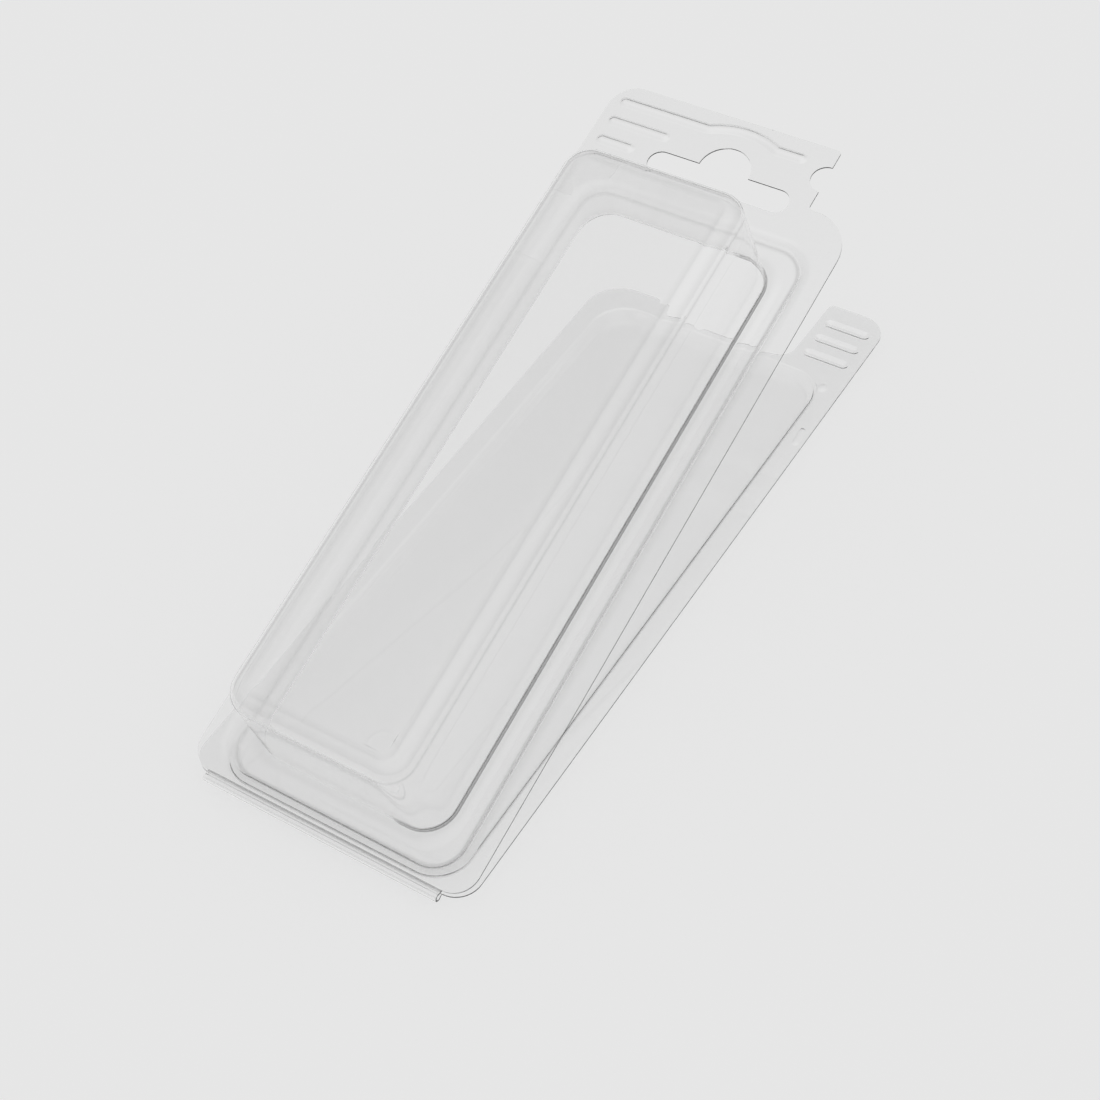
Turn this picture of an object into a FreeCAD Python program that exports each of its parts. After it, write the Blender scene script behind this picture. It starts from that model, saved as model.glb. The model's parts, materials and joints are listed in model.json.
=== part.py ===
import FreeCAD, Part
import math
import os

Vector = FreeCAD.Vector

# Clear thermoformed clamshell pack, shown part open. One sheet forms a front half with a deep
# blister, a back half with a shallow tray, and the folded hinge film between them.
# Each half is drawn in its own flange frame: u across, v away from the hinge edge, w outwards
# from the face that meets the other half. All sizes are in millimetres.

# sheet and hinge
sheet = 0.4                 # thickness of the formed sheet
mate_gap = 0.3              # gap between the two flanges when the pack is shut
hinge_out = 1.0             # hinge axis beyond the flange edges
bead_radius = 0.95          # outside radius of the folded hinge bead
bead_clearance = 0.3        # free space round the bead
bead_lip_angle = 24.6       # from the front half's face round to the lip of the bead
open_angle = 15.7           # how far the pack stands open

# flanges, common to both halves
flange_width = 62.0
hinge_corner = 5.0          # flange corner radius beside the hinge

# plug: the step that presses the front half into the tray of the back half
plug_margin = 4.7           # flange edge to the plug, at the sides
plug_near = 1.6             # hinge edge to the plug
plug_depth = 2.0
plug_corner = 7.0
plug_side_slope = 0.6       # sideways run for each millimetre of depth
plug_end_slope = 0.4

# blister
foot_side = 5.7             # plug edge to the blister wall, at the sides
foot_near = 4.8             # the same at the hinge end
foot_far = 5.9              # the same at the far end
blister_length = 130.9      # outside of the walls at the flange face
blister_height = 24.4       # flange face to the top of the blister
blister_base_corner = 7.0
blister_top_corner = 5.2
blister_side_draft = 0.057  # sideways run for each millimetre of height
blister_end_draft = 0.047
blister_top_round = 3.0
foot_round = 2.2            # round between the wall and the plug face

# front half: shoulder and hang tab
shoulder_margin = 8.7       # far end of the plug to the shoulder beside the hang tab
shoulder_radius = 9.0
tab_height = 14.8           # shoulder to the top of the hang tab
tab_inset = 10.8            # right flange edge to the right edge of the hang tab
tab_left_radius = 6.0
tab_small_radius = 0.8
bite_radius = 3.1           # finger notch in the right edge of the hang tab
bite_drop = 7.3             # top of the hang tab down to the notch

# hang slot
slot_width = 32.0
slot_height = 5.5
slot_drop = 15.35           # top of the hang tab down to the middle line of the slot
slot_dome_radius = 5.6      # round top of the slot, for a round hook

# stiffening beads of the hang tab
rib_rise = 0.8
rib_margin = 3.3            # left flange edge to the middle of the round left ends
rib_drop = 4.3              # top of the hang tab down to the uppermost bead
rib_pitch = 5.05
rib_right_margin = 6.9      # right end of the uppermost bead to the edge of the hang tab
middle_rib_length = 12.2
short_rib_length = 6.6
arch_half_span = 7.8        # the uppermost bead arches over the slot
arch_rise = 1.8

# back half: outline
recess_margin = 2.1         # far end of the plug to the edge below the hang slot
lobe_margin = 3.7           # that edge to the raised edge at the left
lobe_width = 14.6
lobe_ramp = 2.2             # run of the slant down from the raised edge
lobe_radius = 8.0
lobe_round = 2.2
nick_middle = -5.3
nick_half_width = 1.5
nick_depth = 1.4
nick_round = 0.25
pull_length = 19.5          # edge below the hang slot to the top of the pull tab
pull_width = 14.7
pull_taper = 0.5
pull_radius = 6.0
pull_small_radius = 1.2
pull_root_radius = 4.0

# grip beads of the pull tab
grip_left_margin = 3.1      # left edge of the pull tab to the middle of the round ends
grip_right_margin = 3.5
grip_drop = 5.3             # top of the pull tab down to the first bead
grip_pitch = 5.0
grip_count = 3

# tray of the back half
tray_floor_play = 1.0       # tray depth beyond the plug depth
tray_play = 0.3             # tray edge beyond the plug edge, at the sides
tray_end_play = 0.5
tray_side_slope = 0.567
tray_end_slope = 0.383

# snap lugs on the end walls of the plug, and their pockets in the tray
lug_radius = 0.75
lug_drop = 1.2              # flange face down to the middle of the lug
lug_proud = 0.25            # how far a lug stands out of the plug wall
lug_margin = 6.8            # side of the plug to the outer end of a lug
lug_length = 9.0
lug_shift = 5.5             # the left lug of the hinge end stands this much nearer the middle
pocket_radius = 1.1
pocket_proud = 0.4          # how far a pocket reaches into the tray wall

half_width = flange_width / 2.0
plug_half_width = half_width - plug_margin
blister_half_width = plug_half_width - foot_side
blister_near = plug_near + foot_near
blister_far = blister_near + blister_length
plug_far = blister_far + foot_far
shoulder_reach = plug_far + shoulder_margin
tab_reach = shoulder_reach + tab_height
tab_right = half_width - tab_inset
recess_reach = plug_far + recess_margin
lobe_reach = recess_reach + lobe_margin
pull_reach = recess_reach + pull_length
pull_left = half_width - pull_width
tray_depth = plug_depth + tray_floor_play
tray_half_width = plug_half_width + tray_play
tray_near = plug_near - tray_end_play
tray_far = plug_far + tray_end_play
tray_middle = (tray_near + tray_far) / 2.0
axis_height = tray_depth + sheet + mate_gap / 2.0
axis_y = -(tray_middle + hinge_out)


def tangent_points(before, corner, after, radius):
    """Where a round of this radius touches the two sides of a corner, and its middle."""
    back = (before - corner).normalize()
    onward = (after - corner).normalize()
    half_turn = back.getAngle(onward) / 2.0
    reach = radius / math.tan(half_turn)
    bisector = (back + onward).normalize()
    middle = corner + bisector * (radius / math.sin(half_turn) - radius)
    return corner + back * reach, middle, corner + onward * reach


def rounded_wire(corners, height):
    """Closed outline through corners given as (u, v, radius), at one height."""
    points = [Vector(u, v, height) for u, v, radius in corners]
    count = len(corners)
    arcs = []
    for i, (u, v, radius) in enumerate(corners):
        arcs.append(tangent_points(points[i - 1], points[i], points[(i + 1) % count], radius))
    edges = []
    for i, (start, middle, end) in enumerate(arcs):
        edges.append(Part.Arc(start, middle, end).toShape())
        next_start = arcs[(i + 1) % count][0]
        edges.append(Part.LineSegment(end, next_start).toShape())
    return Part.Wire(edges)


def rounded_box_wire(half, near, far, radius, height):
    corners = ((-half, near, radius), (half, near, radius), (half, far, radius), (-half, far, radius))
    return rounded_wire(corners, height)


def plate(corners, low, high):
    """Flat plate of the given outline between two heights."""
    face = Part.Face(rounded_wire(corners, low))
    return face.extrude(Vector(0, 0, high - low))


def tapered_block(low_wire, high_wire):
    return Part.makeLoft([low_wire, high_wire], True, True)


def stepped_block(half, near, far, radius, side_slope, end_slope, low, high):
    """Block whose sides lean outwards as it rises; its sizes are given at height 0."""
    wires = []
    for height in (low, high):
        side = side_slope * height
        end = end_slope * height
        corner = radius + min(side_slope, end_slope) * height
        wires.append(rounded_box_wire(half + side, near - end, far + end, corner, height))
    return tapered_block(wires[0], wires[1])


def loop_edges(shape, height, half, near, far):
    """Edges of a shape that lie flat at one height inside a rectangle."""
    found = []
    for edge in shape.Edges:
        box = edge.BoundBox
        flat = abs(box.ZMin - height) < 1e-4 and abs(box.ZMax - height) < 1e-4
        inside = box.XMin > -half and box.XMax < half and box.YMin > near and box.YMax < far
        if flat and inside:
            found.append(edge)
    return found


def rod(start, end, radius):
    """Round bar with ball ends."""
    bar = Part.makeCylinder(radius, (end - start).Length, start, end - start)
    return bar.fuse([Part.makeSphere(radius, start), Part.makeSphere(radius, end)])


def arched_rod(start, top, end, radius):
    """Round bar along an arc through three points, with ball ends."""
    arc = Part.Arc(start, top, end)
    direction = arc.toShape().tangentAt(arc.FirstParameter)
    profile = Part.Face(Part.Wire(Part.Circle(start, direction, radius).toShape()))
    bar = Part.Wire(arc.toShape()).makePipe(profile)
    return bar.fuse([Part.makeSphere(radius, start), Part.makeSphere(radius, end)])


def bead_radii():
    """Outside and inside radius of a formed bead whose middle line lies on the flange face."""
    outside = sheet + rib_rise
    return outside, outside - sheet


def long_rib(reach, radius):
    """Bead that runs across the hang tab and arches over the slot."""
    left = Vector(rib_margin - half_width, reach, 0)
    rise = Vector(-arch_half_span, reach, 0)
    crown = Vector(0, reach + arch_rise, 0)
    fall = Vector(arch_half_span, reach, 0)
    right = Vector(tab_right - rib_right_margin, reach, 0)
    arch = arched_rod(rise, crown, fall, radius)
    return rod(left, rise, radius).fuse([arch, rod(fall, right, radius)])


def straight_rib(left, length, reach, radius):
    return rod(Vector(left, reach, 0), Vector(left + length, reach, 0), radius)


def hang_tab_ribs(radius):
    """The three beads of the hang tab, from the top down."""
    left = rib_margin - half_width
    reach = tab_reach - rib_drop
    return [long_rib(reach, radius),
            straight_rib(left, middle_rib_length, reach - rib_pitch, radius),
            straight_rib(left, short_rib_length, reach - 2 * rib_pitch, radius)]


def grip_ribs(radius):
    """The grip beads of the pull tab, from the top down."""
    left = pull_left + grip_left_margin
    length = half_width - grip_right_margin - left
    reach = pull_reach - grip_drop
    return [straight_rib(left, length, reach - i * grip_pitch, radius) for i in range(grip_count)]


def half_space(low, high):
    """Large block between two heights, for trimming the beads to one side of the sheet."""
    span = 4 * tab_reach
    return Part.makeBox(span, span, high - low, Vector(-span / 2, -span / 2, low))


def hang_slot():
    """Slot with round ends and a round top, standing through the sheet."""
    radius = slot_height / 2.0
    run = slot_width / 2.0 - radius
    through = 4 * sheet
    base = Vector(0, tab_reach - slot_drop, -through / 2)
    bar = Part.makeBox(2 * run, slot_height, through, base + Vector(-run, -radius, 0))
    left = Part.makeCylinder(radius, through, base + Vector(-run, 0, 0))
    right = Part.makeCylinder(radius, through, base + Vector(run, 0, 0))
    dome = Part.makeCylinder(slot_dome_radius, through, base + Vector(0, radius, 0))
    above = Part.makeBox(4 * slot_dome_radius, 2 * slot_dome_radius, through,
                         base + Vector(-2 * slot_dome_radius, radius - sheet, 0))
    return bar.fuse([left, right, dome.common(above)])


def front_outline():
    near = bead_radius + bead_clearance - hinge_out
    return ((-half_width, near, hinge_corner), (half_width, near, hinge_corner),
            (half_width, shoulder_reach, shoulder_radius),
            (tab_right, shoulder_reach, tab_small_radius),
            (tab_right, tab_reach, tab_small_radius), (-half_width, tab_reach, tab_left_radius))


def back_outline():
    lobe_right = lobe_width - half_width
    nick_low = recess_reach - nick_depth
    return ((-half_width, 0, hinge_corner), (half_width, 0, hinge_corner),
            (half_width, pull_reach, pull_radius),
            (pull_left + pull_taper, pull_reach, pull_small_radius),
            (pull_left, recess_reach, pull_root_radius),
            (nick_middle + nick_half_width, recess_reach, nick_round),
            (nick_middle, nick_low, nick_round),
            (nick_middle - nick_half_width, recess_reach, nick_round),
            (lobe_right + lobe_ramp, recess_reach, lobe_round), (lobe_right, lobe_reach, lobe_round),
            (-half_width, lobe_reach, lobe_radius))


def blister_block(inset, low, high, top_round):
    """Blister volume set in by the given amount, with a rounded top edge."""
    wires = []
    for height, corner in ((low, blister_base_corner), (high, blister_top_corner)):
        side = blister_half_width - blister_side_draft * height - inset
        near = blister_near + blister_end_draft * height + inset
        far = blister_far - blister_end_draft * height - inset
        wires.append(rounded_box_wire(side, near, far, corner - inset, height))
    block = tapered_block(wires[0], wires[1])
    return block.makeFillet(top_round, loop_edges(block, high, half_width, 0, tab_reach))


def plug_wall_set(slope):
    """Sideways thickness of the sheet in a wall with this slope."""
    return sheet * math.sqrt(1.0 + slope * slope)


def plug_blocks():
    """Outer and inner volume of the step below the front flange."""
    side_set = plug_wall_set(plug_side_slope)
    outer = stepped_block(plug_half_width, plug_near, plug_far, plug_corner,
                          plug_side_slope, plug_end_slope, -plug_depth, sheet)
    end_set = plug_wall_set(plug_end_slope)
    inner = stepped_block(plug_half_width - side_set, plug_near + end_set, plug_far - end_set,
                          plug_corner - side_set, plug_side_slope, plug_end_slope,
                          sheet - plug_depth, sheet)
    return outer, inner


def lug_rows():
    """Left and right ends of the lugs: at the hinge end, then at the far end."""
    outer = plug_half_width - lug_margin
    right = (outer - lug_length, outer)
    left = (-outer, lug_length - outer)
    return ((left[0] + lug_shift, left[1] + lug_shift), right), (left, right)


def end_bars(near_wall, far_wall, height, radius, sink):
    """Round bars along two end walls, their middles this far inside the wall faces."""
    near_row, far_row = lug_rows()
    bars = []
    for row, reach in ((near_row, near_wall + sink), (far_row, far_wall - sink)):
        for left, right in row:
            bars.append(rod(Vector(left, reach, height), Vector(right, reach, height), radius))
    return bars


def snap_lugs():
    """Lugs on the plug: outside bars to add and inside bars to cut."""
    near_wall = plug_near + plug_end_slope * lug_drop
    far_wall = plug_far - plug_end_slope * lug_drop
    sink = lug_radius - lug_proud
    outside = end_bars(near_wall, far_wall, -lug_drop, lug_radius, sink)
    inside = end_bars(near_wall, far_wall, -lug_drop, lug_radius - sheet, sink)
    return outside, inside


def snap_pockets():
    """Pockets that the lugs enter when the pack is shut: bars to add and bars to cut."""
    drop = lug_drop - mate_gap
    near_wall = tray_near + tray_end_slope * drop
    far_wall = tray_far - tray_end_slope * drop
    sink = pocket_radius - pocket_proud
    outside = end_bars(near_wall, far_wall, -drop, pocket_radius + sheet, sink)
    inside = end_bars(near_wall, far_wall, -drop, pocket_radius, sink)
    below = half_space(-2 * tray_depth, -sheet / 2)
    return [bar.common(below) for bar in outside], inside


def front_half():
    """Flange with hang tab, stepped plug and blister, formed from one sheet."""
    plug_outer, plug_inner = plug_blocks()
    foot = sheet - plug_depth
    lugs, lug_hollows = snap_lugs()
    body = plate(front_outline(), 0, sheet).fuse([plug_outer] + lugs)
    body = body.cut(plug_inner)
    body = body.fuse(blister_block(0, foot - sheet, blister_height, blister_top_round))
    inner_round = blister_top_round - sheet
    body = body.cut(blister_block(sheet, -plug_depth, blister_height - sheet, inner_round))
    body = body.removeSplitter()
    foot_half = blister_half_width + foot_round
    foot_ring = loop_edges(body, foot, foot_half, plug_near, plug_far - foot_round)
    body = body.makeFillet(foot_round, foot_ring)
    mouth_ring = loop_edges(body, -plug_depth, blister_half_width + sheet / 2, blister_near - sheet,
                            blister_far + sheet)
    body = body.makeFillet(foot_round + sheet, mouth_ring)
    body = body.cut(lug_hollows)
    outside, inside = bead_radii()
    above = half_space(0, outside + sheet)
    ribs = [rib.common(above) for rib in hang_tab_ribs(outside)]
    body = body.fuse(ribs).cut(hang_tab_ribs(inside))
    bite = Part.makeCylinder(bite_radius, 4 * sheet, Vector(tab_right, tab_reach - bite_drop, -2 * sheet))
    body = body.cut([hang_slot(), bite])
    return body


def back_half():
    """Flange with pull tab and shallow tray, formed from one sheet."""
    side_set = plug_wall_set(tray_side_slope)
    end_set = plug_wall_set(tray_end_slope)
    tray_corner = plug_corner + tray_play
    outer = stepped_block(tray_half_width + side_set, tray_near - end_set, tray_far + end_set,
                          tray_corner + side_set, tray_side_slope, tray_end_slope,
                          -tray_depth - sheet, -sheet / 2)
    inner = stepped_block(tray_half_width, tray_near, tray_far, tray_corner,
                          tray_side_slope, tray_end_slope, -tray_depth, sheet)
    pockets, pocket_hollows = snap_pockets()
    body = plate(back_outline(), -sheet, 0).fuse([outer] + pockets)
    body = body.cut([inner] + pocket_hollows)
    outside, inside = bead_radii()
    below = half_space(-outside - sheet, 0)
    ribs = [rib.common(below) for rib in grip_ribs(outside)]
    body = body.fuse(ribs).cut(grip_ribs(inside))
    return body


def hinge_film():
    """Folded film fixed to the back flange: a bead round the hinge axis and the strip to it.

    Drawn about the hinge axis, which is the X axis here; the bead stops short of the front flange.
    """
    length = flange_width - 2 * hinge_corner
    corner = Vector(-length / 2, 0, 0)
    along = Vector(1, 0, 0)
    tube = Part.makeCylinder(bead_radius, length, corner, along)
    bore = Part.makeCylinder(bead_radius - sheet, length, corner, along)
    strip_top = -mate_gap / 2.0
    mouth_start = math.degrees(math.asin(strip_top / bead_radius))
    mouth_end = open_angle + bead_lip_angle
    rim = [corner]
    for angle in (mouth_start, (mouth_start + mouth_end) / 2, mouth_end):
        turn = math.radians(angle)
        reach = 2 * bead_radius
        rim.append(corner + Vector(0, reach * math.cos(turn), reach * math.sin(turn)))
    mouth = Part.Face(Part.makePolygon(rim + [corner])).extrude(along * length)
    strip = Part.makeBox(length, hinge_out, sheet, corner + Vector(0, 0, strip_top - sheet))
    film = tube.cut(mouth).fuse(strip).cut(bore)
    return film.removeSplitter()


def place_back(shape):
    """Move the back half from its flange frame to the frame of the part."""
    moved = shape.copy()
    moved.translate(Vector(0, -tray_middle, tray_depth + sheet))
    return moved


def place_front(shape):
    """Move the front half from its flange frame to the frame of the part, standing open."""
    moved = shape.copy()
    moved.translate(Vector(0, hinge_out, mate_gap / 2.0))
    moved.rotate(Vector(0, 0, 0), Vector(1, 0, 0), open_angle)
    moved.translate(Vector(0, axis_y, axis_height))
    return moved


def place_hinge(shape):
    moved = shape.copy()
    moved.translate(Vector(0, axis_y, axis_height))
    return moved


def main():
    os.makedirs("parts", exist_ok=True)
    nodes = {
        "front_shell": place_front(front_half()),
        "back_shell": place_back(back_half()),
        "living_hinge": place_hinge(hinge_film()),
    }
    for name, shape in nodes.items():
        box = shape.BoundBox
        print(name, shape.isValid(), len(shape.Solids), round(shape.Volume, 1))
        print("  from", round(box.XMin, 2), round(box.YMin, 2), round(box.ZMin, 2))
        print("  to", round(box.XMax, 2), round(box.YMax, 2), round(box.ZMax, 2))
        shape.exportStep("parts/" + name + ".step")
    print("hinge axis at y", round(axis_y, 3), "z", round(axis_height, 3))


main()
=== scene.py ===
import json
import math

import bmesh
import bpy
import numpy as np
from mathutils import Matrix, Vector, geometry


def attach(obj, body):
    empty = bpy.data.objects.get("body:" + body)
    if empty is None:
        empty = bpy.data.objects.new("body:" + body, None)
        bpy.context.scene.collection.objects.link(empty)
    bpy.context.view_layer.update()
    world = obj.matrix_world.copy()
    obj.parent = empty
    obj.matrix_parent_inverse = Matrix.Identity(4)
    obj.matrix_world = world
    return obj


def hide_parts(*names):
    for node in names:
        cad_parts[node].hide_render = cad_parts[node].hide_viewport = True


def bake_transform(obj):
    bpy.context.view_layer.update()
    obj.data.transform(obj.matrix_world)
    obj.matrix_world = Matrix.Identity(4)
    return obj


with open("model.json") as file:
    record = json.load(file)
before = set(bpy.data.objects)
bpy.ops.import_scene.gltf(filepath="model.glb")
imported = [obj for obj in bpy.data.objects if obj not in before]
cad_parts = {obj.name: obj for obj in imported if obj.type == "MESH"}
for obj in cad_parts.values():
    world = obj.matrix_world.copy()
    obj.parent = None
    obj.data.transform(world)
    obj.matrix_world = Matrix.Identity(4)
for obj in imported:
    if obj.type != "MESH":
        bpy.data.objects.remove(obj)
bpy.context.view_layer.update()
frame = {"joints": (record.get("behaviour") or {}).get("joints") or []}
mm = 0.001

# The hinge joint places both halves: its point is the fold, its shut limit gives the opening angle.
hinge = frame["joints"][0]
foldY, foldZ = hinge["pos_m"][1] / mm, hinge["pos_m"][2] / mm
openAngle = math.radians(-hinge["range_deg"][0])
print("frame loaded, pack stands open", round(math.degrees(openAngle), 1), "degrees")

formedSheet = {
    "thickness": 0.3,      # mm
    "middle": 0.2,         # height of the sheet's middle over its face
    "matingGap": 0.3,      # between the flanges when shut
    "foldOut": 1.0,        # fold axis beyond the flange edges
    "width": 62.0,
    "hingeCorner": 5.0,
    "sharpAngle": math.radians(50),      # faces that meet at more than this show an edge
    "cornerPull": 0.58,                  # how far a rounded crease's handles reach to its corner
    "beadPower": 1.4,                    # higher is a narrower bead top
    "beadLines": (1.12, 1.0, 0.86, 0.7, 0.5, 0.25),      # mesh lines on a bead, as shares of its half width
}
halfWidth = formedSheet["width"] / 2
middle = formedSheet["middle"]

# longest mesh edges on the flat parts, and how far their inner points stay from the outline, in mm
meshSpacing = {
    "flangeEdge": 3.0, "slotEdge": 1.0,
    "roof": (2.5, 1.6), "trayFloor": (3.0, 1.8),      # spacing and margin
    "ringClear": 1.4,
}


# outline helpers, all in mm: u is across the pack, v is away from the hinge

# Closed outline: each corner (u, v, radius) becomes an arc that touches both of its sides.
def roundedLoop(corners, perArc=10):
    points = np.array([c[:2] for c in corners], float)
    pieces = []
    for i, (u, v, radius) in enumerate(corners):
        corner = points[i]
        back = points[i - 1] - corner
        onward = points[(i + 1) % len(points)] - corner
        back = back / np.linalg.norm(back)
        onward = onward / np.linalg.norm(onward)
        halfTurn = math.acos(np.clip(back @ onward, -1, 1)) / 2
        reach = radius / math.tan(halfTurn)
        centre = corner + (back + onward) / np.linalg.norm(back + onward) * radius / math.sin(halfTurn)
        start = corner + back * reach - centre
        end = corner + onward * reach - centre
        first = math.atan2(start[1], start[0])
        sweep = (math.atan2(end[1], end[0]) - first + math.pi) % (2 * math.pi) - math.pi
        turn = first + sweep * np.linspace(0, 1, perArc + 1)
        pieces.append(centre + radius * np.column_stack([np.cos(turn), np.sin(turn)]))
    return np.vstack(pieces)


# Adds evenly spaced points to the sides of a closed outline that are longer than longest.
def splitLong(loop, longest):
    ends = np.roll(loop, -1, axis=0)
    counts = np.maximum(1, np.ceil(np.linalg.norm(ends - loop, axis=1) / longest)).astype(int)
    index = np.repeat(np.arange(len(loop)), counts)
    step = np.arange(counts.sum()) - np.repeat(np.cumsum(counts) - counts, counts)
    share = (step / counts[index])[:, None]
    return loop[index] * (1 - share) + ends[index] * share


# True for each point inside the closed outline: a ray to the right crosses it an odd number of times.
def isInside(points, loop):
    a, b = loop, np.roll(loop, -1, axis=0)
    x, y = points[:, 0][:, None], points[:, 1][:, None]
    spans = (a[:, 1] > y) != (b[:, 1] > y)
    rise = np.where(b[:, 1] == a[:, 1], 1e-12, b[:, 1] - a[:, 1])
    crossing = a[:, 0] + (y - a[:, 1]) * (b[:, 0] - a[:, 0]) / rise
    return (spans & (crossing > x)).sum(1) % 2 == 1


# Shortest distance from each point to an open path: the nearest of its straight runs.
def distanceToPath(points, path):
    a, b = path[:-1], path[1:]
    along = b - a
    offset = points[:, None, :] - a
    share = np.clip((offset * along).sum(2) / (along ** 2).sum(1), 0, 1)
    return np.linalg.norm(offset - share[:, :, None] * along, axis=2).min(1)


# Outline at one distance round an open path: its sides moved out, with a half circle at each end.
def loopRoundPath(path, radius, spacing=0.35):
    along = np.gradient(path, axis=0)
    along = along / np.linalg.norm(along, axis=1)[:, None]
    side = np.column_stack([-along[:, 1], along[:, 0]]) * radius
    count = max(5, int(math.pi * radius / spacing))
    turn = np.linspace(0, math.pi, count + 2)[1:-1][:, None]

    def cap(i, sign):
        return path[i] + np.cos(turn) * side[i] * sign + np.sin(turn) * along[i] * radius * sign

    return np.vstack([path + side, cap(-1, 1), (path - side)[::-1], cap(0, -1)])


# mesh helpers

# Quads of a grid of rows that closes on itself along its columns.
def gridFaces(rows, columns):
    r = np.arange(rows - 1)[:, None] * columns
    c = np.arange(columns)[None, :]
    nextColumn = (c + 1) % columns
    quads = np.stack([r + c, r + nextColumn, r + columns + nextColumn, r + columns + c], axis=2)
    return quads.reshape(-1, 4)


# Triangles between outlines: loops[0] bounds the patch, holes are left open, strokes are followed.
def flatPatch(loops, holes, strokes, heightOf, fill=()):
    rings = list(loops) + list(holes) + list(strokes)
    points = np.vstack(rings + [np.array(fill, float).reshape(-1, 2)])
    edges, start = [], 0
    for ring in rings:
        index = start + np.arange(len(ring))
        edges += np.column_stack([index, np.roll(index, -1)]).tolist()
        start += len(ring)
    made = geometry.delaunay_2d_cdt([Vector(p) for p in points.tolist()], edges, [], 0, 1e-6)
    flat = np.array([v[:] for v in made[0]])
    triangles = np.array(made[2])
    centre = flat[triangles].mean(1)
    keep = isInside(centre, loops[0])
    for hole in holes:
        keep &= ~isInside(centre, hole)
    return np.column_stack([flat, heightOf(flat)]), triangles[keep]


# Keeps one number per vertex: how much painted shade darkens the sheet's colour along its creases and thick
# lines.
def storePaintedShade(mesh, values):
    mesh.attributes.new("paintedShade", "FLOAT", "POINT").data.foreach_set("value", values.astype(np.float32))


# Joins patches of the sheet's middle surface and gives it a wall.
# Each face of the sheet is the middle surface moved half the thickness along its own normals, and the
# open edges are closed by a rim. The wall is thicker along the creases (path, extra, reach, shade), where
# thickness = thickness + extra * exp(-(distance / reach) squared), and the painted shade attribute holds
# shade times the same bell, painted darker along these lines by the material. place turns mm in the
# flange's own frame into the row frame.
def thickSheet(name, patches, thickness, creases, place):
    build = bmesh.new()
    for points, faces in patches:
        verts = [build.verts.new(p) for p in points.tolist()]
        for face in faces.tolist():
            build.faces.new([verts[i] for i in face])
    bmesh.ops.remove_doubles(build, verts=build.verts, dist=0.002)
    bmesh.ops.dissolve_degenerate(build, edges=build.edges, dist=0.0005)
    loose = [v for v in build.verts if not v.link_faces]
    bmesh.ops.delete(build, geom=loose, context="VERTS")
    bmesh.ops.recalc_face_normals(build, faces=build.faces)
    skin = bpy.data.meshes.new(name + "Skin")
    build.to_mesh(skin)
    build.free()

    count = len(skin.vertices)
    points = np.zeros(count * 3)
    skin.vertices.foreach_get("co", points)
    points = points.reshape(-1, 3)
    normals = np.zeros(count * 3, np.float32)
    skin.vertex_normals.foreach_get("vector", normals)
    normals = normals.reshape(-1, 3).astype(float)
    faces = [tuple(p.vertices) for p in skin.polygons]
    up = sum(p.normal.z * p.area for p in skin.polygons)
    if up < 0:
        faces = [f[::-1] for f in faces]
        normals = -normals
    edgeUse = {}
    for face in faces:
        for a, b in zip(face, face[1:] + face[:1]):
            edgeUse[(a, b)] = True
    rim = [(b, a, a + count, b + count) for a, b in edgeUse if (b, a) not in edgeUse]
    under = [tuple(i + count for i in f[::-1]) for f in faces]
    wall = np.full(count, thickness)
    paintedShade = np.zeros(count)
    # painted shade: the darkening along each crease, kept for the material
    for path, extra, reach, shade in creases:
        bell = np.exp(-(distanceToPath(points, path) / reach) ** 2)
        wall += extra * bell
        paintedShade = np.maximum(paintedShade, shade * bell)
    offset = normals * wall[:, None] / 2
    both = np.vstack([points + offset, points - offset])
    bpy.data.meshes.remove(skin)

    mesh = bpy.data.meshes.new(name)
    mesh.from_pydata(place(both) * mm, [], faces + under + rim)
    mesh.shade_smooth()
    mesh.set_sharp_from_angle(angle=formedSheet["sharpAngle"])
    storePaintedShade(mesh, np.concatenate([paintedShade, paintedShade]))
    piece = bpy.data.objects.new(name, mesh)
    bpy.context.scene.collection.objects.link(piece)
    return piece


# Back flange frame to row frame: the tray's underside comes to rest at height 0.
def placeBack(points):
    lift = foldZ - formedSheet["matingGap"] / 2
    return points + np.array([0, foldY + formedSheet["foldOut"], lift])


# Front flange frame to row frame: shifted to the fold, then turned open about it.
def placeFront(points):
    v = points[:, 1] + formedSheet["foldOut"]
    w = points[:, 2] + formedSheet["matingGap"] / 2
    c, s = math.cos(openAngle), math.sin(openAngle)
    return np.column_stack([points[:, 0], foldY + v * c - w * s, foldZ + v * s + w * c])


# Rows along each straight run of a profile, as shares of its length, denser near its ends.
wallSteps = (0.008, 0.016, 0.024, 0.034, 0.05, 0.12, 0.3, 0.5, 0.7, 0.88, 0.95, 0.98)

# A formed step is a stack of rounded rectangles. One walk round such a rectangle is a list of outward
# angles and of places on the rectangle through its corner centres, so that
# point = centre + place * (half size - corner) + corner * (cos angle, sin angle).
stepWalk = {"shortSide": 16, "longSide": 48, "arc": 14}


# The walk itself: a quarter turn at each corner, then even steps along the side that follows.
def walkRound():
    signs = np.array([[1, 1], [-1, 1], [-1, -1], [1, -1]], float)
    places, angles = [], []
    for i in range(4):
        steps = stepWalk["shortSide"] if i % 2 == 0 else stepWalk["longSide"]
        share = np.linspace(0, 1, steps + 1)[1:-1, None]
        turn = i + np.linspace(0, 1, stepWalk["arc"] + 1)
        onSide = signs[i] * (1 - share) + signs[(i + 1) % 4] * share
        places += [np.repeat(signs[i][None], len(turn), 0), onSide]
        angles += [turn, np.full(len(share), i + 1.0)]
    return np.vstack(places), np.concatenate(angles) * math.pi / 2


walkPlaces, walkAngles = walkRound()


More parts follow.
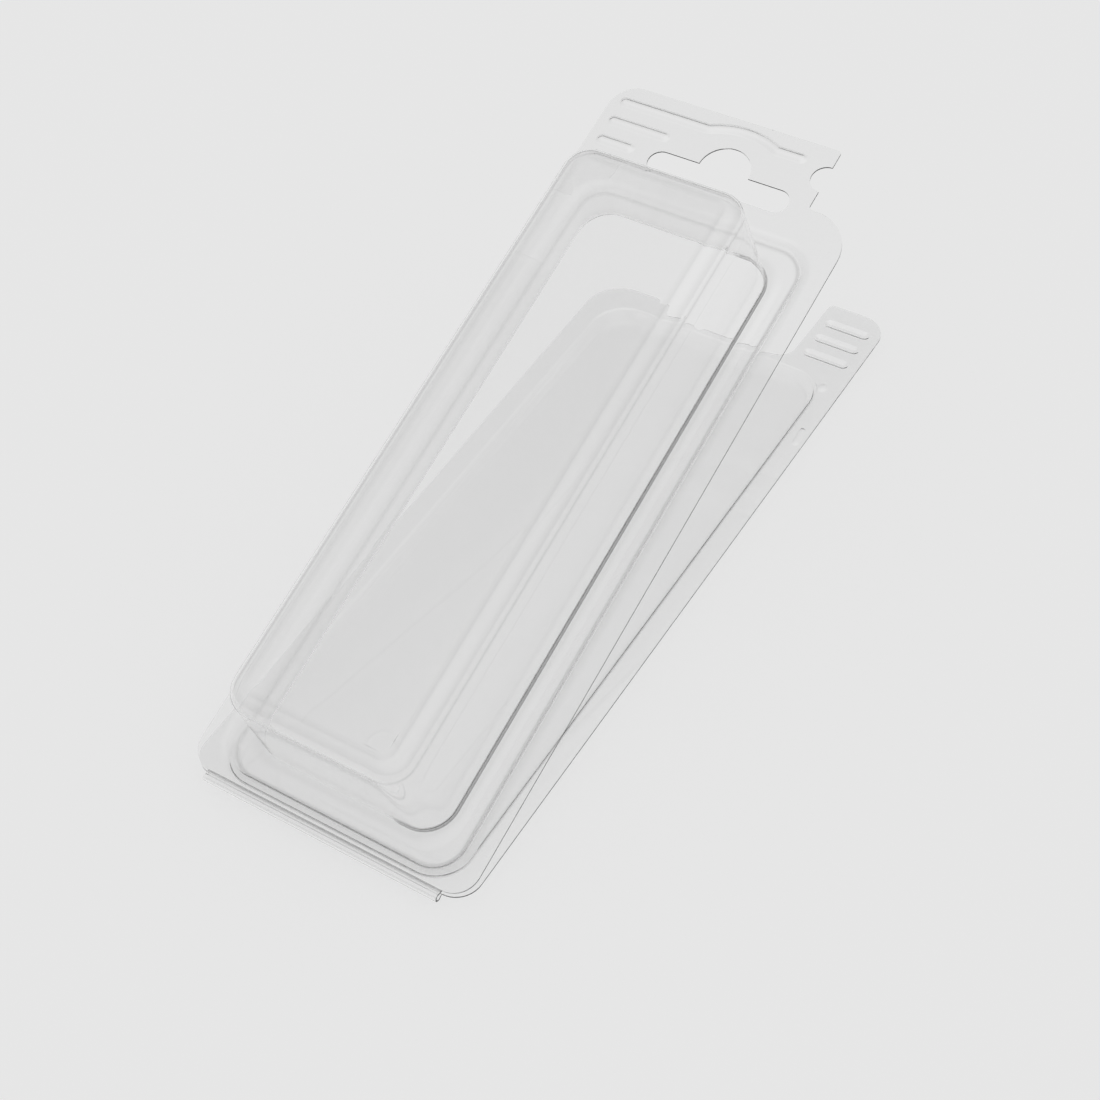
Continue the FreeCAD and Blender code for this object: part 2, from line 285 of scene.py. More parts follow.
# Grid of points, one row for each rounded rectangle.
def stepRings(half, near, far, corner, height):
    sizes = (half, near, far, corner, height)
    half, near, far, corner, height = (np.asarray(x, float)[:, None] for x in sizes)
    u = walkPlaces[:, 0] * (half - corner) + corner * np.cos(walkAngles)
    v = (near + far) / 2 + walkPlaces[:, 1] * ((far - near) / 2 - corner) + corner * np.sin(walkAngles)
    return np.stack([u, v, np.broadcast_to(height, u.shape)], axis=2)


# Profile through stations (half, near, far, corner, height, round).
# Each inner station is cut back by its round on both sides and bridged by a cubic curve whose handles
# reach most of the way to the station. All five sizes go through the same curve together.
def roundedStations(stations, perRound, runSteps):
    s = np.array(stations, float)
    values, rounds = s[:, :5], s[:, 5]
    lengths = np.hypot(np.diff(values[:, 0]), np.diff(values[:, 4]))
    t = np.linspace(0, 1, perRound + 1)[:, None]
    run = np.array(runSteps)[:, None]
    pull = formedSheet["cornerPull"]
    rows = [values[:1]]
    for i in range(1, len(values) - 1):
        before = values[i] + (values[i - 1] - values[i]) * rounds[i] / lengths[i - 1]
        after = values[i] + (values[i + 1] - values[i]) * rounds[i] / lengths[i]
        rows.append(rows[-1][-1] * (1 - run) + before * run)
        handleA = before + (values[i] - before) * pull
        handleB = after + (values[i] - after) * pull
        rows.append(before * (1 - t) ** 3 + 3 * handleA * t * (1 - t) ** 2
                    + 3 * handleB * t ** 2 * (1 - t) + after * t ** 3)
    rows.append(values[-1:])
    return np.vstack(rows)


# Closed path along one station of a formed step.
def ringOf(station):
    half, near, far, corner, height = station[:5]
    ring = stepRings([half], [near], [far], [corner], [height])[0]
    return np.vstack([ring, ring[:1]])


# The formed step as points and quads, with its outermost and innermost outlines.
def stepPatch(stations, perRound=12, runSteps=wallSteps):
    profile = roundedStations(stations, perRound, runSteps)
    grid = stepRings(*profile.T)
    rows, columns = grid.shape[:2]
    return (grid.reshape(-1, 3), gridFaces(rows, columns)), grid[0, :, :2], grid[-1, :, :2]


# front half

frontHalf = {
    "edge": 0.25,            # hinge side edge of the flange
    "shoulder": 151.9, "shoulderRadius": 9.0,
    "tabTop": 166.7, "tabRight": 20.2,
    "tabLeftRadius": 6.0, "tabSmallRadius": 0.8,
    "biteReach": 159.4, "biteRadius": 3.1,      # finger notch in the tab's right edge
}

plug = {
    "halfWidth": 26.68, "near": 2.0, "far": 143.2, "corner": 7.0, "depth": 2.0,
    "sideSlope": 0.8, "endSlope": 0.4,
    "mouthRound": 1.35, "creaseRound": 0.4, "creaseCorner": 6.1,
    "mouthMargin": (1.4, 1.35, 1.4, 1.2),      # rounded surface beyond the mouth: side, near, far, corner
    "creaseBeadAndPaintedShade": (0.05, 0.45, 0.2),           # extra wall along the crease, reach, and painted shade along it
}

blister = {
    "halfWidth": 21.1, "near": 7.4, "far": 137.3, "height": 24.4,
    "sideDraft": 0.078, "endDraft": 0.03,
    "footCorner": 6.5, "topCorner": 5.2, "footRound": 2.1, "topRound": 3.0,
    "roofInset": 4.2, "roofCorner": 1.6, "edgeCornerCut": 0.6,
    "ringMark": (13.3, 13.5, 2.6),      # plain raised ring on the top: u, v and radius
    "ringRise": 0.05, "ringReach": 0.3,
    "ringLines": (0.08, 0.2, 0.35, 0.5, 0.7),
    "footBeadAndPaintedShade": (0.5, 0.36, 0.95),      # extra wall above the foot, reach, and painted shade: a dark line painted along the foot
    "footFrom": 12.0,                   # the foot is thick and painted dark only to the right of this
    "rimBeadAndPaintedShade": (0.03, 0.3, 0.07),       # the same where the round of the top begins
    "wallBeadAndPaintedShade": (0.03, 0.3, 0.2),       # and where it ends on the wall
}

hangSlot = {"reach": 151.35, "width": 32.0, "height": 5.5, "domeRadius": 5.6}

tabBeads = {
    "left": -27.7, "lowest": 152.3, "pitch": 5.05, "rights": (-21.1, -15.5, 13.3),
    "archSpan": 7.8, "archRise": 1.8, "halfWidth": 1.2, "rise": 0.6,
}


# Middle surface of plug and blister, from the flange face inwards and up.
def stationsOfFront():
    t = middle
    sideSet = t * math.hypot(1, plug["sideSlope"])
    endSet = t * math.hypot(1, plug["endSlope"])

    def plugAt(height, corner, rounding):
        side = plug["halfWidth"] + plug["sideSlope"] * height - sideSet
        near = plug["near"] - plug["endSlope"] * height + endSet
        far = plug["far"] + plug["endSlope"] * height - endSet
        return [side, near, far, corner, height, rounding]

    def wallAt(height, corner, rounding):
        side = blister["halfWidth"] - blister["sideDraft"] * height - t
        near = blister["near"] + blister["endDraft"] * height + t
        far = blister["far"] - blister["endDraft"] * height - t
        return [side, near, far, corner, height, rounding]

    foot = t - plug["depth"]
    top = blister["height"] - t
    mouth = plugAt(t, plug["corner"], plug["mouthRound"])
    side, near, far, corner = plug["mouthMargin"]
    outside = [mouth[0] + side, mouth[1] - near, mouth[2] + far, plug["corner"] + corner, t, 0]
    crease = plugAt(foot, plug["creaseCorner"], plug["creaseRound"])
    base = wallAt(foot, blister["footCorner"], blister["footRound"])
    rim = wallAt(top, blister["topCorner"], blister["topRound"])
    inset = blister["roofInset"]
    inside = [rim[0] - inset, rim[1] + inset, rim[2] - inset, blister["roofCorner"], top, 0]
    return [outside, mouth, crease, base, rim, inside]


# Edge of the front flange: rounded corners, one raised tab at the far end and its finger notch.
def frontOutline():
    f = frontHalf
    hingeCorner = formedSheet["hingeCorner"]
    loop = roundedLoop([
        (-halfWidth, f["edge"], hingeCorner), (halfWidth, f["edge"], hingeCorner),
        (halfWidth, f["shoulder"], f["shoulderRadius"]), (f["tabRight"], f["shoulder"], f["tabSmallRadius"]),
        (f["tabRight"], f["tabTop"], f["tabSmallRadius"]), (-halfWidth, f["tabTop"], f["tabLeftRadius"])])
    # the finger notch: the points on the tab's right edge nearest to it are replaced by an arc
    turn = np.linspace(-math.pi / 2, -3 * math.pi / 2, 25)[:, None]
    centre = np.array([f["tabRight"], f["biteReach"]])
    arc = centre + f["biteRadius"] * np.hstack([np.cos(turn), np.sin(turn)])
    onEdge = np.abs(loop[:, 0] - f["tabRight"]) < 1e-6
    below = np.flatnonzero(onEdge & (loop[:, 1] < f["biteReach"]))[-1]
    return np.vstack([loop[:below + 1], arc, loop[below + 1:]])


# Bar with round ends, and a round dome on its top side.
def slotOutline():
    r = hangSlot["height"] / 2
    run = hangSlot["width"] / 2 - r
    dome = hangSlot["domeRadius"]
    turn = np.linspace(-math.pi / 2, math.pi / 2, 17)[:, None]
    right = np.array([run, 0]) + r * np.hstack([np.cos(turn), np.sin(turn)])
    left = np.array([-run, 0]) - r * np.hstack([np.cos(turn), np.sin(turn)])
    over = np.linspace(0, math.pi, 33)[:, None]
    top = np.array([0, r]) + dome * np.hstack([np.cos(over), np.sin(over)])
    return np.vstack([right, top, left]) + np.array([0, hangSlot["reach"]])


# Middle lines of the stiffening beads; the longest one arches over the slot.
def tabBeadPaths():
    b = tabBeads
    lowest = b["lowest"]
    paths = []
    for i, right in enumerate(b["rights"][:2]):
        u = np.linspace(b["left"], right, 24)
        paths.append(np.column_stack([u, np.full(24, lowest + i * b["pitch"])]))
    u = np.linspace(b["left"], b["rights"][2], 90)
    share = np.clip(1 - np.abs(u) / b["archSpan"], 0, 1)
    arch = b["archRise"] * (1 - (1 - share) ** 2)
    paths.append(np.column_stack([u, lowest + 2 * b["pitch"] + arch]))
    return paths


# Height of round beads: rise * (1 - (distance / reach) squared) to the bead power.
def beadHeight(points, paths, reach, rise):
    height = np.zeros(len(points))
    for path in paths:
        share = np.clip(distanceToPath(points, path) / reach, 0, 1)
        height = np.maximum(height, rise * (1 - share ** 2) ** formedSheet["beadPower"])
    return height


# Outlines that the mesh follows on a bead, from its root inwards.
def beadStrokes(paths, reach):
    return [loopRoundPath(path, reach * share) for path in paths for share in formedSheet["beadLines"]]


# Plain raised ring: rise * exp(-(distance from the circle / reach) squared).
def ringMarkHeight(points):
    u, v, radius = blister["ringMark"]
    away = np.hypot(points[:, 0] - u, points[:, 1] - v) - radius
    return blister["ringRise"] * np.exp(-(away / blister["ringReach"]) ** 2)


# Closed circle: centre + radius * (cos turn, sin turn).
def circleLoop(u, v, radius, count=48):
    turn = np.linspace(0, 2 * math.pi, count, endpoint=False)
    return np.column_stack([u + radius * np.cos(turn), v + radius * np.sin(turn)])


# Evenly spaced points inside an outline, kept a margin away from it.
def innerGrid(loop, spacing, margin):
    low, high = loop.min(0) + margin, loop.max(0) - margin
    u, v = np.meshgrid(np.arange(low[0], high[0], spacing), np.arange(low[1], high[1], spacing))
    points = np.column_stack([u.ravel(), v.ravel()])
    closed = np.vstack([loop, loop[:1]])
    return points[isInside(points, loop) & (distanceToPath(points, closed) > margin)]


# Front half: the formed step, the flange round it and the blister's flat top, made one thick sheet.
def makeFront():
    stations = stationsOfFront()
    step, mouthLoop, topLoop = stepPatch(stations)
    base = np.array(stations[3])
    rim = np.array(stations[4])
    cut = blister["topRound"]
    foot = ringOf(base + (rim - base) * blister["footRound"] / (rim[4] - base[4]))
    topEdge = ringOf(rim + [-cut, cut, -cut, -cut * blister["edgeCornerCut"], 0, 0])
    wallEdge = ringOf(rim + (base - rim) * cut / (rim[4] - base[4]))
    # thicker wall and painted shade along the plug's crease, the blister's foot and both ends of its top
    # round
    creases = [(ringOf(stations[2]), *plug["creaseBeadAndPaintedShade"]),
               (foot[foot[:, 0] > blister["footFrom"]], *blister["footBeadAndPaintedShade"]),
               (topEdge, *blister["rimBeadAndPaintedShade"]), (wallEdge, *blister["wallBeadAndPaintedShade"])]
    outline = splitLong(frontOutline(), meshSpacing["flangeEdge"])
    slot = splitLong(slotOutline(), meshSpacing["slotEdge"])
    paths = tabBeadPaths()
    beads = tabBeads["halfWidth"], tabBeads["rise"]
    flange = flatPatch([outline], [slot, mouthLoop], beadStrokes(paths, beads[0]),
                       lambda p: middle + beadHeight(p, paths, *beads))
    u, v, radius = blister["ringMark"]
    ringSteps = [-d for d in blister["ringLines"][::-1]] + list(blister["ringLines"])
    rings = [circleLoop(u, v, radius + d) for d in ringSteps]
    fill = innerGrid(topLoop, *meshSpacing["roof"])
    fill = fill[np.hypot(fill[:, 0] - u, fill[:, 1] - v) > radius + meshSpacing["ringClear"]]
    flatTop = blister["height"] - middle
    roof = flatPatch([topLoop], [], rings, lambda p: flatTop + ringMarkHeight(p), fill)
    return thickSheet("frontHalf", [step, flange, roof], formedSheet["thickness"], creases, placeFront)


front = makeFront()
print("front half made,", len(front.data.polygons), "faces")


# back half

backHalf = {
    "recess": 145.3, "recessLeft": -14.2,
    "lobe": 149.0, "lobeRight": -16.4, "lobeRadius": 8.0, "lobeRound": 2.2,
    "nickMiddle": -5.3, "nickHalf": 1.5, "nickDepth": 1.0, "nickRound": 0.25,
    "pullTop": 164.8, "pullLeft": 16.3, "pullTaper": 0.5,
    "pullRadius": 6.0, "pullSmall": 1.2, "pullRoot": 4.0,
}

tray = {
    "halfWidth": 26.45, "near": 1.6, "far": 143.7, "corner": 7.3, "depth": 3.0,
    "sideSlope": 0.567, "endSlope": 0.383,
    "mouthRound": 0.5, "creaseRound": 0.6, "creaseCorner": 6.1,
    "mouthMargin": (0.55, 0.55, 0.42, 0.45),      # as on the plug
    "floorInset": 3.0, "floorCorner": 3.2,
    # extra wall along the crease, reach and painted shade, as on the plug
    "creaseBeadAndPaintedShade": (0.02, 0.4, 0.04),
}

# snap lugs on the flange beside the tray: ends of the middle line, half width and height
backLugs = [((26.75, 141.1), (26.85, 141.3), 1.3, 0.35), ((29.25, 124.6), (29.0, 128.2), 0.85, 0.3)]

gripBeads = {
    "left": 19.4, "right": 27.5, "top": 159.5, "pitch": 5.0, "count": 3,
    "halfWidth": 1.2, "rise": 0.6,
}


# Middle surface of the tray, from the flange face inwards and down.
def stationsOfBack():
    t = middle
    sideSet = t * math.hypot(1, tray["sideSlope"])
    endSet = t * math.hypot(1, tray["endSlope"])

    def trayAt(height, corner, rounding):
        side = tray["halfWidth"] + tray["sideSlope"] * height + sideSet
        near = tray["near"] - tray["endSlope"] * height - endSet
        far = tray["far"] + tray["endSlope"] * height + endSet
        return [side, near, far, corner, height, rounding]

    mouth = trayAt(-t, tray["corner"], tray["mouthRound"])
    side, near, far, corner = tray["mouthMargin"]
    outside = [mouth[0] + side, mouth[1] - near, mouth[2] + far, tray["corner"] + corner, -t, 0]
    crease = trayAt(-t - tray["depth"], tray["creaseCorner"], tray["creaseRound"])
    inset = tray["floorInset"]
    inside = [crease[0] - inset, crease[1] + inset, crease[2] - inset, tray["floorCorner"], crease[4], 0]
    return [outside, mouth, crease, inside]


# Edge of the back flange: pull tab on the right, V nick in the recess, raised lobe on the left.
def backOutline():
    b = backHalf
    return roundedLoop([
        (-halfWidth, 0, formedSheet["hingeCorner"]), (halfWidth, 0, formedSheet["hingeCorner"]),
        (halfWidth, b["pullTop"], b["pullRadius"]),
        (b["pullLeft"] + b["pullTaper"], b["pullTop"], b["pullSmall"]),
        (b["pullLeft"], b["recess"], b["pullRoot"]),
        (b["nickMiddle"] + b["nickHalf"], b["recess"], b["nickRound"]),
        (b["nickMiddle"], b["recess"] - b["nickDepth"], b["nickRound"]),
        (b["nickMiddle"] - b["nickHalf"], b["recess"], b["nickRound"]),
        (b["recessLeft"], b["recess"], b["lobeRound"]), (b["lobeRight"], b["lobe"], b["lobeRound"]),
        (-halfWidth, b["lobe"], b["lobeRadius"])])


# Middle lines of the grip beads, one pitch apart down the pull tab.
def gripPaths():
    g = gripBeads
    u = np.linspace(g["left"], g["right"], 24)
    return [np.column_stack([u, np.full(24, g["top"] - i * g["pitch"])]) for i in range(g["count"])]


# Back half: the tray's step, the flange round it and the tray's floor, made one thick sheet.
def makeBack():
    stations = stationsOfBack()
    step, mouthLoop, floorLoop = stepPatch(stations)
    # thicker wall and painted shade along the tray's crease
    creases = [(ringOf(stations[2]), *tray["creaseBeadAndPaintedShade"])]
    outline = splitLong(backOutline(), meshSpacing["flangeEdge"])
    paths = gripPaths()
    beads = gripBeads["halfWidth"], gripBeads["rise"]
    lugPaths = [np.linspace(start, end, 6) for start, end, _, _ in backLugs]

    def heightOf(points):
        height = -middle - beadHeight(points, paths, *beads)
        for path, (_, _, half, rise) in zip(lugPaths, backLugs):
            height += beadHeight(points, [path], half, rise)
        return height

    strokes = beadStrokes(paths, beads[0])
    for path, (_, _, half, _) in zip(lugPaths, backLugs):
        strokes += beadStrokes([path], half)
    flange = flatPatch([outline], [mouthLoop], strokes, heightOf)
    low = -tray["depth"] - middle
    fill = innerGrid(floorLoop, *meshSpacing["trayFloor"])
    trayFloor = flatPatch([floorLoop], [], [], lambda p: np.full(len(p), low), fill)
    return thickSheet("backHalf", [step, flange, trayFloor], formedSheet["thickness"], creases, placeBack)


back = makeBack()
print("back half made,", len(back.data.polygons), "faces")


# folded hinge film

hingeFilm = {
    "beadRadius": 0.75, "thickness": 0.32, "halfLength": 26.0, "steps": 60,
    "beadAngles": (292, 262, 232, 202, 172, 142, 112, 84),      # degrees round the bead, from the back half
    "backLead": ((0.0, 0.0), (0.22, 0.01), (0.5, 0.1)),          # film leaving the back flange: in and down
    "frontLead": (0.75, 0.3), "frontDip": 0.05,                  # film reaching the front flange
    "curveSteps": 7,
    "lipExtra": 0.25, "lipReach": 0.35, "lipPaintedShade": 0.5,         # thick lip at the front flange, with painted shade along it
    "blendFrom": -0.12, "blendTo": 0.42,                         # heights about the fold where it bends
}


# Middle line of the fold in the Y, Z plane about its axis: a smooth curve through the bead.
def filmPath():
    r = hingeFilm["beadRadius"]
    gap = formedSheet["matingGap"] / 2
    reach = formedSheet["foldOut"]
    ring = np.radians(np.array(hingeFilm["beadAngles"]))
    backEnd = np.array([reach, -gap - middle]) - np.array(hingeFilm["backLead"])
    c, s = math.cos(openAngle), math.sin(openAngle)
    v, w = frontHalf["edge"] + reach, gap + middle
    frontPoint = np.array([v * c - w * s, v * s + w * c])
    along = np.array([c, s])
    far, close = hingeFilm["frontLead"]
    dip = np.array([0, hingeFilm["frontDip"]])
    frontEnd = np.array([frontPoint - along * far + dip, frontPoint - along * close, frontPoint])
    control = np.vstack([backEnd, r * np.column_stack([np.cos(ring), np.sin(ring)]), frontEnd])
    control = np.vstack([2 * control[:1] - control[1:2], control, 2 * control[-1:] - control[-2:-1]])
    t = np.linspace(0, 1, hingeFilm["curveSteps"], endpoint=False)[:, None]
    basis = [(1 - t) ** 3, 3 * t ** 3 - 6 * t ** 2 + 4, -3 * t ** 3 + 3 * t ** 2 + 3 * t + 1, t ** 3]
    rows = [sum(b * control[i + k] for k, b in enumerate(basis)) / 6 for i in range(len(control) - 3)]
    return np.vstack(rows + [control[-2:-1]])


# The fold's middle line moved half a thickness to each side, carried along the hinge edge.
def makeFilm():
    path = filmPath()
    along = np.gradient(path, axis=0)
    along = along / np.linalg.norm(along, axis=1)[:, None]
    lip = np.exp(-(np.linalg.norm(path - path[-1], axis=1) / hingeFilm["lipReach"]) ** 2)
    thickness = hingeFilm["thickness"] + hingeFilm["lipExtra"] * lip
    side = np.column_stack([-along[:, 1], along[:, 0]]) * thickness[:, None] / 2
    section = np.vstack([path + side, (path - side)[::-1]])
    u = np.linspace(-hingeFilm["halfLength"], hingeFilm["halfLength"], hingeFilm["steps"] + 1)
    rows, columns = len(u), len(section)
    grid = np.empty((rows, columns, 3))
    grid[:, :, 0] = u[:, None]
    grid[:, :, 1:] = section + np.array([foldY, foldZ])
    quads = gridFaces(rows, columns).tolist()
    half = columns // 2
    cap = [[i, i + 1, columns - 2 - i, columns - 1 - i] for i in range(half - 1)]
    endCap = [[(rows - 1) * columns + i for i in face[::-1]] for face in cap]
    mesh = bpy.data.meshes.new("hingeFilm")
    mesh.from_pydata((grid.reshape(-1, 3) * mm).tolist(), [], quads + cap + endCap)
    build = bmesh.new()
    build.from_mesh(mesh)
    bmesh.ops.recalc_face_normals(build, faces=build.faces)
    build.to_mesh(mesh)
    build.free()
    mesh.shade_smooth()
    mesh.set_sharp_from_angle(angle=formedSheet["sharpAngle"])
    # painted shade along the thick lip, for the material
    storePaintedShade(mesh, np.tile(np.concatenate([lip, lip[::-1]]) * hingeFilm["lipPaintedShade"], rows))
    piece = bpy.data.objects.new("hingeFilm", mesh)
    bpy.context.scene.collection.objects.link(piece)
    return piece


film = makeFilm()
print("hinge film made,", len(film.data.polygons), "faces")


# clear formed sheet

clearSheet = {
    "tint": (0.975, 0.975, 0.975, 1),
    "paintedShadeTint": (0.1, 0.1, 0.1, 1),             # painted shade: the colour painted along the sheet's darkest creases and lines
    "ior": 1.55,
    "roughness": 0.02,
    "shadowFace": (0.97, 0.97, 0.97, 1),        # light let through to what lies below, seen square on
    "shadowEdge": (0.5, 0.5, 0.5, 1),           # the same at a grazing angle
    "shadowBlend": 0.25,
    "waveScale": 38.0, "waveDetail": 1.5,
    "waveDepth": 0.00003,                       # metres
    "speckScale": 900.0, "speckDetail": 2.0,
    "speckStart": 0.66, "speckFull": 0.8,       # noise values between which a speck turns dull
    "speckRoughness": 0.12,
}


# New shader node with its settings.
def node(tree, kind, **values):
    made = tree.nodes.new(kind)
    for key, value in values.items():
        setattr(made, key, value)
    return made


# Slow unevenness from the forming and fine specks, as a height and a roughness.
def formedSurfaceGroup():
    tree = bpy.data.node_groups.new("formedSurface", "ShaderNodeTree")
    for name, kind in (("Wave Scale", "NodeSocketFloat"), ("Speck Scale", "NodeSocketFloat"),
                       ("Base Roughness", "NodeSocketFloat")):
        tree.interface.new_socket(name, in_out="INPUT", socket_type=kind)
    for name in ("Height", "Roughness"):
        tree.interface.new_socket(name, in_out="OUTPUT", socket_type="NodeSocketFloat")
    inside = node(tree, "NodeGroupInput")
    outside = node(tree, "NodeGroupOutput")
    place = node(tree, "ShaderNodeTexCoord")
    wave = node(tree, "ShaderNodeTexNoise")
    wave.inputs["Detail"].default_value = clearSheet["waveDetail"]
    speck = node(tree, "ShaderNodeTexNoise")
    speck.inputs["Detail"].default_value = clearSheet["speckDetail"]
    ramp = node(tree, "ShaderNodeMapRange")
    ramp.inputs["From Min"].default_value = clearSheet["speckStart"]
    ramp.inputs["From Max"].default_value = clearSheet["speckFull"]
    ramp.inputs["To Max"].default_value = clearSheet["speckRoughness"]
    add = node(tree, "ShaderNodeMath", operation="ADD")
    link = tree.links.new
    link(place.outputs["Object"], wave.inputs["Vector"])
    link(place.outputs["Object"], speck.inputs["Vector"])
    link(inside.outputs["Wave Scale"], wave.inputs["Scale"])
    link(inside.outputs["Speck Scale"], speck.inputs["Scale"])
    link(speck.outputs["Fac"], ramp.inputs["Value"])
    link(ramp.outputs["Result"], add.inputs[0])
    link(inside.outputs["Base Roughness"], add.inputs[1])
    link(wave.outputs["Fac"], outside.inputs["Height"])
    link(add.outputs["Value"], outside.inputs["Roughness"])
    return tree


surfaceGroup = formedSurfaceGroup()


# Clear plastic that refracts and reflects, and lets light through to what lies below it. Its colour is
# darkened with painted shade along creases and lines.
def clearMaterial(name):
    c = clearSheet
    material = bpy.data.materials.new(name)
    material.use_nodes = True
    tree = material.node_tree
    tree.nodes.clear()
    link = tree.links.new
    surface = node(tree, "ShaderNodeGroup", node_tree=surfaceGroup)
    surface.inputs["Wave Scale"].default_value = c["waveScale"]
    surface.inputs["Speck Scale"].default_value = c["speckScale"]
    surface.inputs["Base Roughness"].default_value = c["roughness"]
    bump = node(tree, "ShaderNodeBump")
    bump.inputs["Strength"].default_value = 1.0
    bump.inputs["Distance"].default_value = c["waveDepth"]
    plastic = node(tree, "ShaderNodeBsdfPrincipled")
    # painted shade: the base colour turns from the tint to the dark painted shade colour wherever the stored
    # painted shade is high
    paintedShade = node(tree, "ShaderNodeAttribute", attribute_name="paintedShade")
    tone = node(tree, "ShaderNodeMix", data_type="RGBA")
    tone.inputs["A"].default_value = c["tint"]
    tone.inputs["B"].default_value = c["paintedShadeTint"]
    plastic.inputs["IOR"].default_value = c["ior"]
    plastic.inputs["Transmission Weight"].default_value = 1.0
    facing = node(tree, "ShaderNodeLayerWeight")
    facing.inputs["Blend"].default_value = c["shadowBlend"]
    shade = node(tree, "ShaderNodeMix", data_type="RGBA")
    shade.inputs["A"].default_value = c["shadowFace"]
    shade.inputs["B"].default_value = c["shadowEdge"]
    through = node(tree, "ShaderNodeBsdfTransparent")
    path = node(tree, "ShaderNodeLightPath")
    either = node(tree, "ShaderNodeMath", operation="MAXIMUM")
    mix = node(tree, "ShaderNodeMixShader")
    output = node(tree, "ShaderNodeOutputMaterial")
    link(paintedShade.outputs["Fac"], tone.inputs["Factor"])
    link(tone.outputs["Result"], plastic.inputs["Base Color"])
    link(surface.outputs["Height"], bump.inputs["Height"])
    link(surface.outputs["Roughness"], plastic.inputs["Roughness"])
    link(bump.outputs["Normal"], plastic.inputs["Normal"])
    link(facing.outputs["Facing"], shade.inputs["Factor"])
    link(shade.outputs["Result"], through.inputs["Color"])
    link(path.outputs["Is Shadow Ray"], either.inputs[0])
    link(path.outputs["Is Diffuse Ray"], either.inputs[1])
    link(either.outputs["Value"], mix.inputs[0])
    link(plastic.outputs["BSDF"], mix.inputs[1])
    link(through.outputs["BSDF"], mix.inputs[2])
    link(mix.outputs["Shader"], output.inputs["Surface"])
    return material


front.data.materials.append(clearMaterial("clearFront"))
back.data.materials.append(clearMaterial("clearBack"))
film.data.materials.append(clearMaterial("clearFold"))
print("materials made")

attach(front, "front_half")
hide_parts("front_shell")
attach(back, "back_half")
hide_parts("back_shell")
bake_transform(film)
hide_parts("living_hinge")


# floor, light and camera

studio = {
    "floorSize": 3.0,
    "floorColor": 0.85,
    "floorGlow": 0.866,       # even light of the lit table top
    "shadowShare": 0.25,      # share of the floor's tone that shadows can darken
    "keyFrom": (0.3, -0.3, 0.9),
    "keyLight": 1.35,
    "roomLight": 0.4,
    "keyStart": 0.35,         # cosine of the angle from the key light where the sky starts to brighten
    "keyFull": 1.0,
}


# Pale table top: an even glow, mixed with a share of plain diffuse white that takes the shadows.
def makeFloor():
    size = studio["floorSize"] / 2
    mesh = bpy.data.meshes.new("floor")
    corners = [(-size, -size, 0), (size, -size, 0), (size, size, 0), (-size, size, 0)]
    mesh.from_pydata(corners, [], [(0, 1, 2, 3)])
    floor = bpy.data.objects.new("floor", mesh)
    bpy.context.scene.collection.objects.link(floor)
    material = bpy.data.materials.new("paleFloor")
    material.use_nodes = True
    tree = material.node_tree
    tree.nodes.clear()
    shade = studio["floorColor"]
    plain = node(tree, "ShaderNodeBsdfDiffuse")
    plain.inputs["Color"].default_value = (shade, shade, shade, 1)
    glow = node(tree, "ShaderNodeEmission")
    glow.inputs["Strength"].default_value = studio["floorGlow"]
    mix = node(tree, "ShaderNodeMixShader")
    mix.inputs[0].default_value = studio["shadowShare"]
    output = node(tree, "ShaderNodeOutputMaterial")
    tree.links.new(glow.outputs["Emission"], mix.inputs[1])
    tree.links.new(plain.outputs["BSDF"], mix.inputs[2])
    tree.links.new(mix.outputs["Shader"], output.inputs["Surface"])
    mesh.materials.append(material)


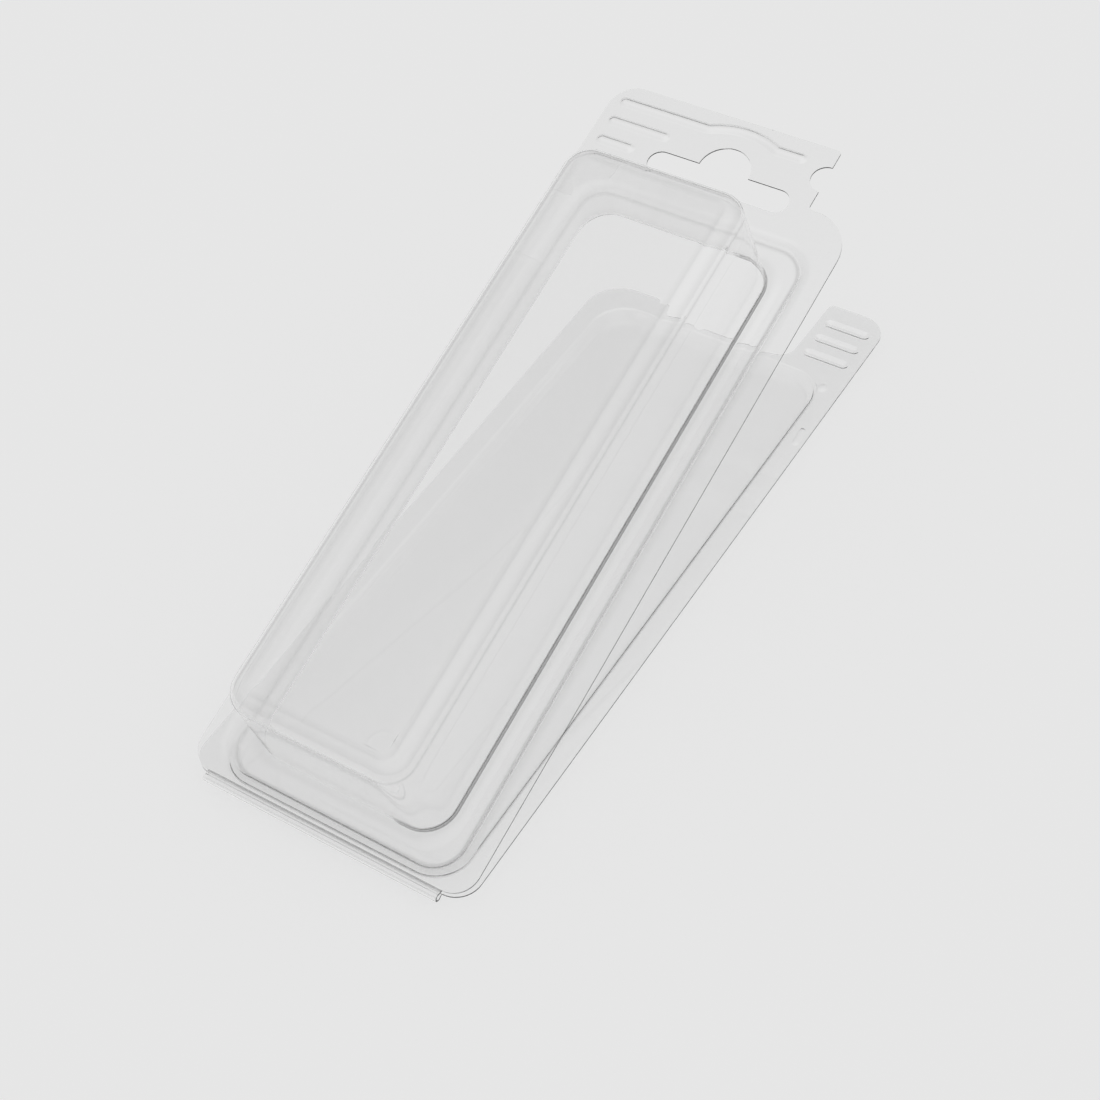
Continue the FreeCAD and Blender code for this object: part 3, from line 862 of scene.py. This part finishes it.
# Dim room with one broad soft light: the sky brightens with the cosine of the angle from the key.
def makeSky():
    world = bpy.data.worlds.new("studioSky")
    bpy.context.scene.world = world
    world.use_nodes = True
    tree = world.node_tree
    tree.nodes.clear()
    link = tree.links.new
    place = node(tree, "ShaderNodeTexCoord")
    toKey = node(tree, "ShaderNodeVectorMath", operation="DOT_PRODUCT")
    toKey.inputs[1].default_value = Vector(studio["keyFrom"]).normalized()
    ramp = node(tree, "ShaderNodeMapRange", interpolation_type="SMOOTHSTEP")
    ramp.inputs["From Min"].default_value = studio["keyStart"]
    ramp.inputs["From Max"].default_value = studio["keyFull"]
    ramp.inputs["To Min"].default_value = studio["roomLight"]
    ramp.inputs["To Max"].default_value = studio["keyLight"]
    light = node(tree, "ShaderNodeBackground")
    output = node(tree, "ShaderNodeOutputWorld")
    link(place.outputs["Generated"], toKey.inputs[0])
    link(toKey.outputs["Value"], ramp.inputs["Value"])
    link(ramp.outputs["Result"], light.inputs["Strength"])
    link(light.outputs["Background"], output.inputs["Surface"])


photoView = {
    "lens": 67.04,
    "azimuth": 37.387,
    "elevation": 49.013,
    "roll": -6.745,
    "distance": 406.317,                 # mm
    "target": (0.359, 75.908, 0.0),      # in the back flange's frame, at the sheet's middle
    "sensorWidth": 36.0,
    "clipStart": 0.01,
}


# Camera at the photo's viewing angle: it looks from azimuth and elevation at the target, turned by roll.
def makeCamera():
    view = photoView
    a, e, r = (math.radians(view[k]) for k in ("azimuth", "elevation", "roll"))
    away = Vector((math.sin(a) * math.cos(e), -math.cos(a) * math.cos(e), math.sin(e)))
    level = (-away).cross(Vector((0, 0, 1))).normalized()
    over = level.cross(-away)
    right = math.cos(r) * level + math.sin(r) * over
    up = math.cos(r) * over - math.sin(r) * level
    sheetHeight = foldZ - formedSheet["matingGap"] / 2 - middle
    target = Vector(view["target"]) + Vector((0, foldY + formedSheet["foldOut"], sheetHeight))
    camera = bpy.data.objects.new("camera", bpy.data.cameras.new("camera"))
    camera.matrix_world = Matrix((
        (right.x, up.x, away.x, 0), (right.y, up.y, away.y, 0), (right.z, up.z, away.z, 0), (0, 0, 0, 1)))
    camera.location = (target + away * view["distance"]) * mm
    camera.data.lens = view["lens"]
    camera.data.sensor_width = view["sensorWidth"]
    camera.data.clip_start = view["clipStart"]
    bpy.context.scene.collection.objects.link(camera)
    bpy.context.scene.camera = camera


makeFloor()
makeSky()
makeCamera()
bpy.context.scene.view_settings.view_transform = "Standard"
bounces = {"most": 24, "glossy": 8, "transparent": 32}      # enough for light to cross every wall of the pack
cycles = bpy.context.scene.cycles
cycles.max_bounces = bounces["most"]
cycles.transmission_bounces = bounces["most"]
cycles.glossy_bounces = bounces["glossy"]
cycles.transparent_max_bounces = bounces["transparent"]
print("stage, light and camera made")
